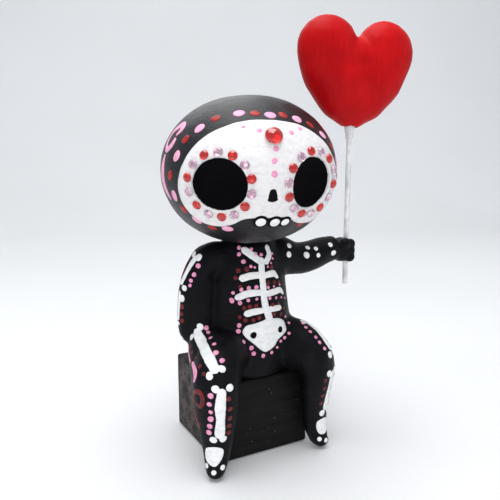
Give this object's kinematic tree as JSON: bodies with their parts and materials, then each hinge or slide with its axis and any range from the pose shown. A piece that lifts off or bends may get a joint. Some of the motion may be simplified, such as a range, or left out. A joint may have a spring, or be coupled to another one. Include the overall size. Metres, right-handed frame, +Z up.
{
  "type": "papier-mache catrina figure",
  "caption": "Small seated skeleton figure of black papier-mache on a wooden block, with a white sugar-skull face set with stones, holding a red heart balloon on a stick.",
  "frame": {"origin": "centre of the block's underside, on the surface that the figure stands on", "axes": "+Z up; the figure faces -Y; +X is the figure's left, the side of the heart balloon"},
  "size_m": [0.1028, 0.0601, 0.161],
  "materials": {
    "black_block": "matte black paint over faint vertical wood grain",
    "bare_wood": "bare birch dowel, hidden",
    "crumpled_foil_paper": "crumpled paper core, hidden",
    "armature_wire": "galvanised craft wire, hidden",
    "black_papier_mache": "satin black acrylic paint over smooth papier-mache, brush strokes",
    "paper_pulp": "crumpled paper and pulp, hidden",
    "white_face": "thick brushed white acrylic paint with soft strokes",
    "red_stone": "clear red acrylic rhinestone",
    "pink_stone": "clear pink acrylic rhinestone",
    "white_stick": "thin off-white paint on a round wooden stick",
    "red_heart": "satin red acrylic paint with brush strokes"
  },
  "bodies": {
    "figure": {"seat_block": "black_block", "seat_dowel": "bare_wood", "torso_core": "crumpled_foil_paper", "torso_skin": "black_papier_mache", "neck_wire": "armature_wire", "arm_wire": "armature_wire", "leg_wire": "armature_wire", "right_arm": "black_papier_mache", "left_arm": "black_papier_mache", "left_hand": "black_papier_mache", "right_leg": "black_papier_mache", "left_leg": "black_papier_mache", "head_core": "paper_pulp", "head_shell": "black_papier_mache", "face_mask": "white_face", "right_eye_bowl": "black_papier_mache", "left_eye_bowl": "black_papier_mache", "forehead_gem": "red_stone", "right_eye_red_gems": "red_stone", "right_eye_pink_gems": "pink_stone", "left_eye_red_gems": "red_stone", "left_eye_pink_gems": "pink_stone"},
    "stick": {"balloon_stick": "white_stick"},
    "balloon": {"stick_collar": "white_stick", "heart_core": "paper_pulp", "heart_skin": "red_heart"}
  },
  "joints": [
    {"name": "balloon_slide", "type": "slide", "parent": "figure", "child": "stick", "axis": [0, 0, 1], "range_m": [-0.004, 0.014]},
    {"name": "balloon_turn", "type": "hinge", "parent": "stick", "child": "balloon", "pos_m": [0.0446, -0.007, 0.1196], "axis": [0, 0, 1], "continuous": true}
  ]
}
